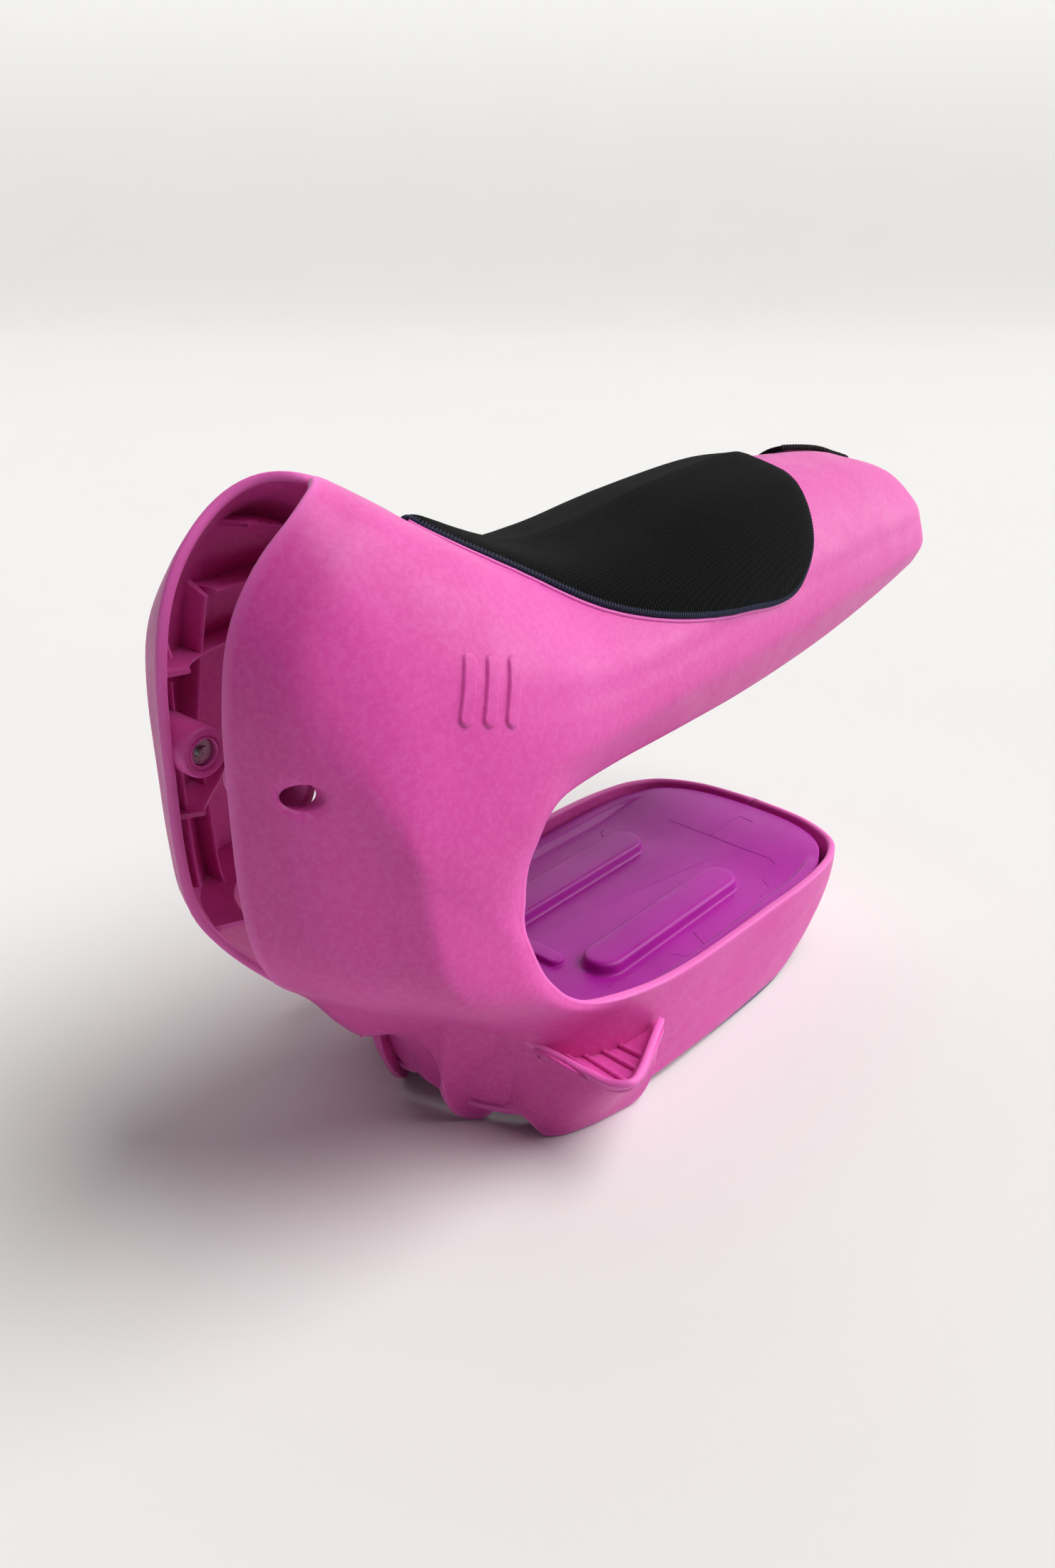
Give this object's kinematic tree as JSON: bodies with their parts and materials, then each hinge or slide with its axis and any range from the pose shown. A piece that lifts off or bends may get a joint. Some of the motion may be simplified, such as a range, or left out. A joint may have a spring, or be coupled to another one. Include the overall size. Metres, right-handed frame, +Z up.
{
  "type": "ride-on foot saddle",
  "caption": "Hollow C-shaped toddler saddle that an adult straps to one shoe and shin, with a foot tray, seat pad, side steps and a hook-and-loop strap.",
  "frame": {"origin": "on the floor under the middle of the sole, on the middle plane", "axes": "+X towards the open mouth and the saddle nose, +Y to the left side, +Z up"},
  "size_m": [0.45, 0.1796, 0.2693],
  "materials": {
    "shell": "fine matte texture",
    "tray": "semi gloss",
    "rubber": "matte",
    "inner_plastic": "matte",
    "foam": "soft foam",
    "knit": "knitted mesh",
    "hem_thread": "overlocked thread",
    "webbing": "woven webbing",
    "hook_tape": "hook and loop",
    "steel": "plated"
  },
  "bodies": {
    "saddle": {"left_shell": "shell", "right_shell": "shell", "outsole": "rubber", "base_plate": "inner_plastic", "foot_tray": "tray", "seat_foam": "foam", "seat_cover": "knit", "seat_hem": "hem_thread", "spine_plate": "inner_plastic", "strap_base": "webbing", "strap_loop_patch": "hook_tape", "strap_anchor_bar": "steel", "sleeve_screws": "steel", "sleeve_nuts": "steel", "tray_screws": "steel", "spine_screws": "steel", "seat_tapes": "hook_tape", "strap_bar_clips": "inner_plastic"},
    "strap_flap": {"strap_end": "webbing", "strap_hook_patch": "hook_tape"}
  },
  "joints": [
    {"name": "strap_peel", "type": "hinge", "parent": "saddle", "child": "strap_flap", "pos_m": [0.1965, 0.0359, 0.2135], "axis": [-0.981, -0.003, 0.194], "range_deg": [0, 110]}
  ]
}
